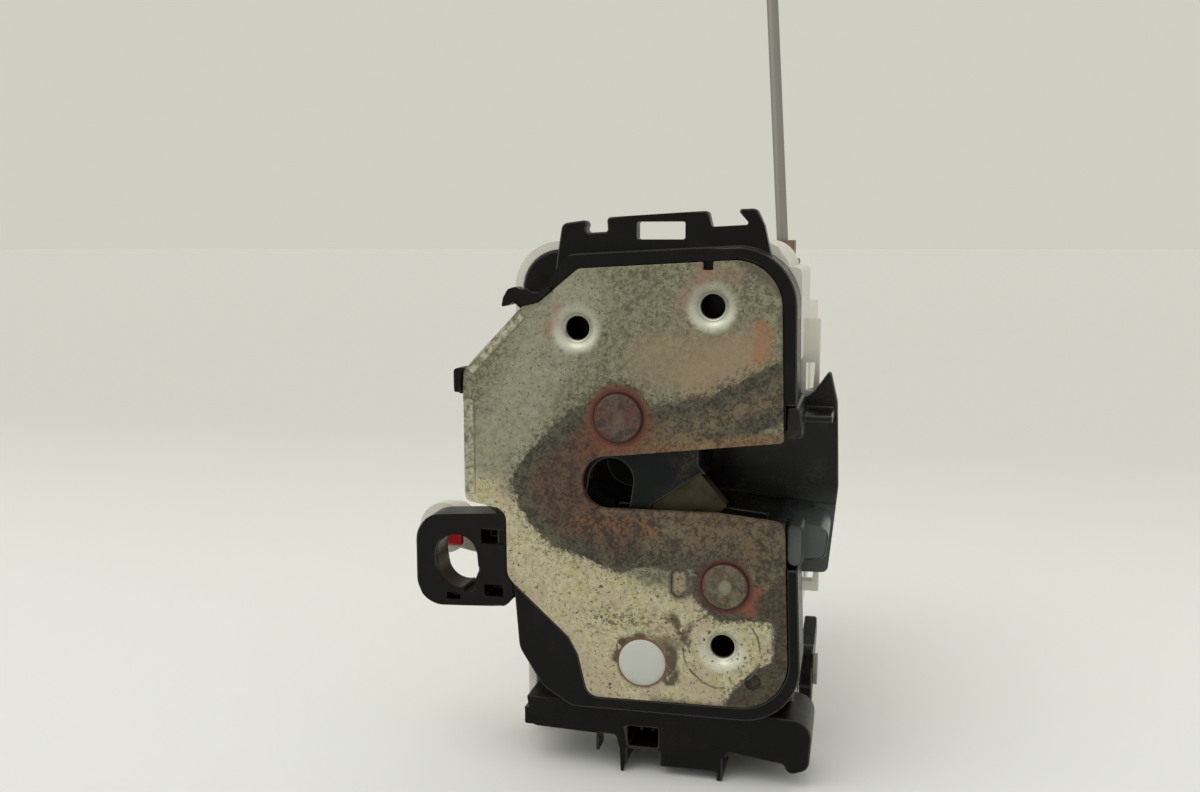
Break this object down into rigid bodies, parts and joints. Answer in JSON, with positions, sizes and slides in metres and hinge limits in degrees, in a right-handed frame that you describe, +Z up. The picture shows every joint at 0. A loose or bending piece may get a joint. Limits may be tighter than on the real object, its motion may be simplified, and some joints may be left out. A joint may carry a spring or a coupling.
{
  "type": "door latch actuator",
  "caption": "Electrically locked door latch with face plate, striker slot, ratchet and pawl, outside and inside release levers and a geared lock rod drive",
  "frame": {"origin": "axis of the latched striker, at the outer face of the face plate", "axes": "+X to the right seen from the striker's side, toward the slot's open end; +Y into the latch, square to the face plate; +Z up along the lock rod"},
  "size_m": [0.0935, 0.1059, 0.2316],
  "materials": {
    "zinc_steel": "zinc plated and passivated, stained and rusting at the edges",
    "dark_steel": "hardened steel, dulled and grimy",
    "spring_steel": "bright drawn steel",
    "black_plastic": "moulded, slightly glossy at the edges",
    "guard_plastic": "moulded, worn and dusty",
    "white_plastic": "moulded acetal",
    "red_plastic": "moulded",
    "brown_plastic": "moulded",
    "nylon": "natural, moulded teeth",
    "rubber": "moulded stop",
    "brass": "plain"
  },
  "bodies": {
    "root": {"face_plate": "zinc_steel", "latch_case": "black_plastic", "case_floor": "black_plastic", "clip_block": "black_plastic", "striker_guard": "guard_plastic", "back_plate": "dark_steel", "ratchet_pin": "dark_steel", "pawl_pin": "dark_steel", "button_plug": "white_plastic", "slot_bumper": "rubber", "connector_shroud": "black_plastic", "connector_terminals": "brass", "ratchet_spring": "spring_steel", "pawl_spring": "spring_steel", "release_lever_pin": "dark_steel", "inside_lever_pin": "dark_steel", "rear_housing": "white_plastic", "actuator_box": "white_plastic", "side_cover": "white_plastic", "cover_screws": "spring_steel", "rod_guide": "brown_plastic", "lock_lever_axle": "spring_steel", "gear_axle": "spring_steel", "motor_can": "zinc_steel", "motor_end_cap": "black_plastic", "lock_switch": "black_plastic"},
    "ratchet": {"ratchet_core": "dark_steel", "ratchet_cover": "guard_plastic"},
    "pawl": {"pawl": "dark_steel", "pawl_follower_pin": "dark_steel"},
    "release": {"release_lever": "zinc_steel", "rod_clip_white": "white_plastic", "rod_clip_red": "red_plastic"},
    "inside": {"inside_lever": "black_plastic"},
    "lock": {"lock_lever": "black_plastic"},
    "rod": {"lock_rod": "spring_steel", "rod_tip": "spring_steel"},
    "gear": {"reduction_gear": "nylon"},
    "motor": {"motor_shaft": "spring_steel", "motor_pinion": "brass"}
  },
  "joints": [
    {"name": "release_pull", "type": "hinge", "parent": "root", "child": "release", "pos_m": [-0.022, 0.0172, -0.019], "axis": [0, 1, 0], "range_deg": [0, 25], "stiffness_Nm_per_rad": 0.06, "springref_deg": -11.46},
    {"name": "pawl_lift", "type": "hinge", "parent": "root", "child": "pawl", "pos_m": [0.0247, 0.006, -0.0205], "axis": [0, -1, 0], "range_deg": [0, 24.01], "deforming": ["pawl_spring"]},
    {"name": "ratchet_turn", "type": "hinge", "parent": "root", "child": "ratchet", "pos_m": [0.0021, 0.006, 0.0138], "axis": [0, -1, 0], "range_deg": [0, 75.01]},
    {"name": "inside_pull", "type": "hinge", "parent": "root", "child": "inside", "pos_m": [0.0401, 0.036, -0.05], "axis": [-1, 0, 0], "range_deg": [0, 24], "stiffness_Nm_per_rad": 0.03, "springref_deg": -5.73},
    {"name": "lock_turn", "type": "hinge", "parent": "root", "child": "lock", "pos_m": [0.027, 0.062, 0.0191], "axis": [-1, 0, 0], "range_deg": [0, 30.01]},
    {"name": "rod_slide", "type": "slide", "parent": "root", "child": "rod", "axis": [0.0624, 0, -0.9981], "range_m": [0, 0.01141]},
    {"name": "gear_turn", "type": "hinge", "parent": "root", "child": "gear", "pos_m": [0.029, 0.076, -0.004], "axis": [1, 0, 0], "range_deg": [0, 132.1]},
    {"name": "motor_turn", "type": "hinge", "parent": "root", "child": "motor", "pos_m": [0.03, 0.08797, -0.01797], "axis": [-1, 0, 0], "range_deg": [0, 475.4]}
  ],
  "couplings": [
    {"joint": "pawl_lift", "follows": "release_pull", "ratio": 0.96},
    {"joint": "ratchet_turn", "follows": "release_pull", "ratio": 3},
    {"joint": "lock_turn", "follows": "rod_slide", "rad_per_m": 45.888},
    {"joint": "gear_turn", "follows": "rod_slide", "rad_per_m": 201.91},
    {"joint": "motor_turn", "follows": "rod_slide", "rad_per_m": 726.87}
  ]
}
